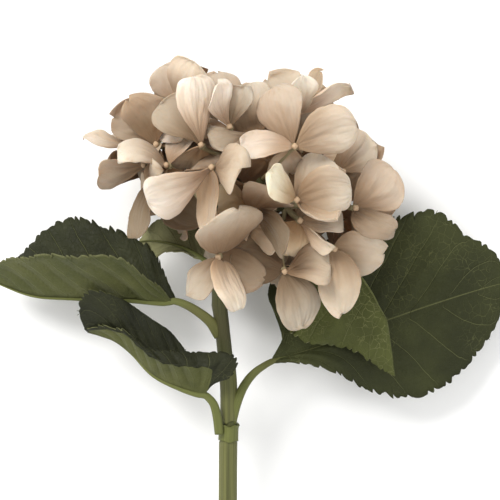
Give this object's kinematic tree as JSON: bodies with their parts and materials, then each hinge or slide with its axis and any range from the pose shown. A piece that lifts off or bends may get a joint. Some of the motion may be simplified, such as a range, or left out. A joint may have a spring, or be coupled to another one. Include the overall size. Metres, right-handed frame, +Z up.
{
  "type": "cut hydrangea",
  "caption": "Cut flower stem with one rounded head of four-petalled florets, broad toothed leaves and a long bare stalk, lying down.",
  "frame": {"origin": "middle of the underside of the bounding box, on the surface it lies on", "axes": "+Y along the stem from the cut end to the head, +Z up from the surface, +X to the right seen from above"},
  "size_m": [0.272, 0.4138, 0.1217],
  "materials": {
    "stem": "satin, ribbed green stalk",
    "leaf": "matte woven, pale net of veins, paler underside",
    "petal_beige": "matte thin petal with soft sheen",
    "petal_pale": "matte thin petal with soft sheen",
    "petal_tan": "matte thin petal with soft sheen",
    "petal_brown": "matte thin petal with soft sheen",
    "petal_cream": "matte thin petal with soft sheen"
  },
  "bodies": {
    "root": {"main_stem": "stem", "stem_sleeve": "stem", "stem_collar": "stem", "leaf_mid_left": "leaf", "leaf_low_left": "leaf", "leaf_up_left": "leaf", "leaf_low_right": "leaf", "leaf_up_right": "leaf", "floret_01": "petal_beige", "floret_02": "petal_pale", "floret_03": "petal_tan", "floret_04": "petal_brown", "floret_05": "petal_cream", "floret_06": "petal_beige", "floret_07": "petal_pale", "floret_08": "petal_tan", "floret_09": "petal_brown", "floret_10": "petal_cream", "floret_11": "petal_beige", "floret_12": "petal_pale", "floret_13": "petal_tan", "floret_14": "petal_brown", "floret_15": "petal_cream", "floret_16": "petal_beige", "floret_17": "petal_pale", "floret_18": "petal_tan", "floret_19": "petal_brown", "floret_20": "petal_cream", "floret_21": "petal_beige", "floret_22": "petal_pale", "floret_23": "petal_tan", "floret_24": "petal_brown", "floret_25": "petal_cream", "floret_26": "petal_beige", "floret_27": "petal_pale", "floret_28": "petal_tan", "floret_29": "petal_brown", "floret_30": "petal_cream", "floret_31": "petal_beige", "floret_32": "petal_pale", "floret_33": "petal_tan", "floret_34": "petal_brown", "floret_35": "petal_cream", "floret_36": "petal_beige", "floret_37": "petal_pale", "floret_38": "petal_tan", "floret_39": "petal_brown"}
  },
  "joints": []
}
